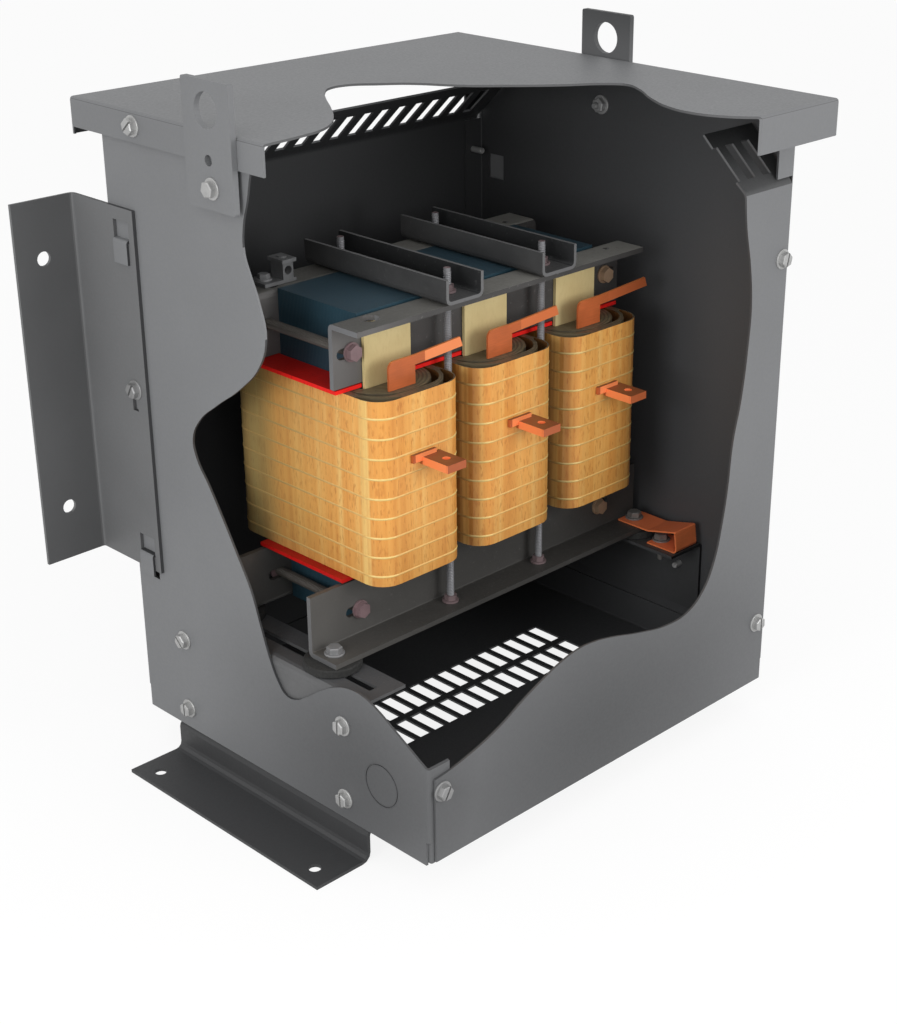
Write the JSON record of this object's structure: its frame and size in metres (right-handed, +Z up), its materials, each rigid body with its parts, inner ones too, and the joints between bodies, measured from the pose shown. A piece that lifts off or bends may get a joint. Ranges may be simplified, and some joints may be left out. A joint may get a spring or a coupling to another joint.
{
  "type": "ventilated dry type transformer",
  "caption": "Wall or floor mounted ventilated sheet-metal case, cut open at the front, with a three-limb core, wound coils, clamps and copper leads inside.",
  "frame": {"origin": "centre of the object's footprint box, on the underside of the mounting feet", "axes": "+Z up, +Y from the front panel towards the wall brackets, +X to the right seen from the front"},
  "size_m": [0.5652, 0.4648, 0.631],
  "materials": {
    "enclosure_paint": "matt grey paint, near black inside",
    "lug_steel": "satin grey paint",
    "clamp_paint": "satin dark grey paint",
    "rubber": "matt black",
    "core_lacquer": "dark blue lacquer over laminations",
    "plated_steel": "mauve tinted plating",
    "coil_wrap": "varnished amber wrap with pale bands",
    "inner_wrap": "varnished brown layers",
    "red_sheet": "matt red laminate",
    "barrier_board": "smooth cream board",
    "copper": "bare copper",
    "lug_metal": "satin grey metal",
    "zinc_screws": "bright zinc"
  },
  "bodies": {
    "root": {"base_pan": "enclosure_paint", "left_side_panel": "enclosure_paint", "right_side_panel": "enclosure_paint", "front_panel": "enclosure_paint", "back_panel": "enclosure_paint", "top_cover": "enclosure_paint", "wall_bracket_left": "enclosure_paint", "wall_bracket_right": "enclosure_paint", "mounting_foot_left": "enclosure_paint", "mounting_foot_right": "enclosure_paint", "core_rail_left": "enclosure_paint", "core_rail_right": "enclosure_paint", "lifting_lug_left": "lug_steel", "lifting_lug_right": "lug_steel", "bottom_clamp_front": "clamp_paint", "bottom_clamp_back": "clamp_paint", "top_clamp_front": "clamp_paint", "top_clamp_back": "clamp_paint", "cross_channel_left": "clamp_paint", "cross_channel_right": "clamp_paint", "isolation_pad_front_left": "rubber", "isolation_pad_front_right": "rubber", "isolation_pad_back_left": "rubber", "isolation_pad_back_right": "rubber", "core": "core_lacquer", "core_bolt_bottom_left": "plated_steel", "core_bolt_bottom_right": "plated_steel", "core_bolt_top_left": "plated_steel", "core_bolt_top_right": "plated_steel", "tie_rod_front_left": "plated_steel", "tie_rod_front_right": "plated_steel", "tie_rod_back_left": "plated_steel", "tie_rod_back_right": "plated_steel", "outer_winding_1": "coil_wrap", "outer_winding_2": "coil_wrap", "outer_winding_3": "coil_wrap", "inner_winding_1": "inner_wrap", "inner_winding_2": "inner_wrap", "inner_winding_3": "inner_wrap", "bottom_plate_left_end": "red_sheet", "bottom_plate_left_window": "red_sheet", "bottom_plate_right_window": "red_sheet", "bottom_plate_right_end": "red_sheet", "top_plate_left_end": "red_sheet", "top_plate_left_window": "red_sheet", "top_plate_right_window": "red_sheet", "top_plate_right_end": "red_sheet", "barrier_1": "barrier_board", "barrier_2": "barrier_board", "barrier_3": "barrier_board", "lv_lead_1": "copper", "lv_lead_2": "copper", "lv_lead_3": "copper", "hv_terminal_1": "copper", "hv_terminal_2": "copper", "hv_terminal_3": "copper", "bonding_strap": "copper", "ground_lug": "lug_metal"}
  },
  "joints": []
}
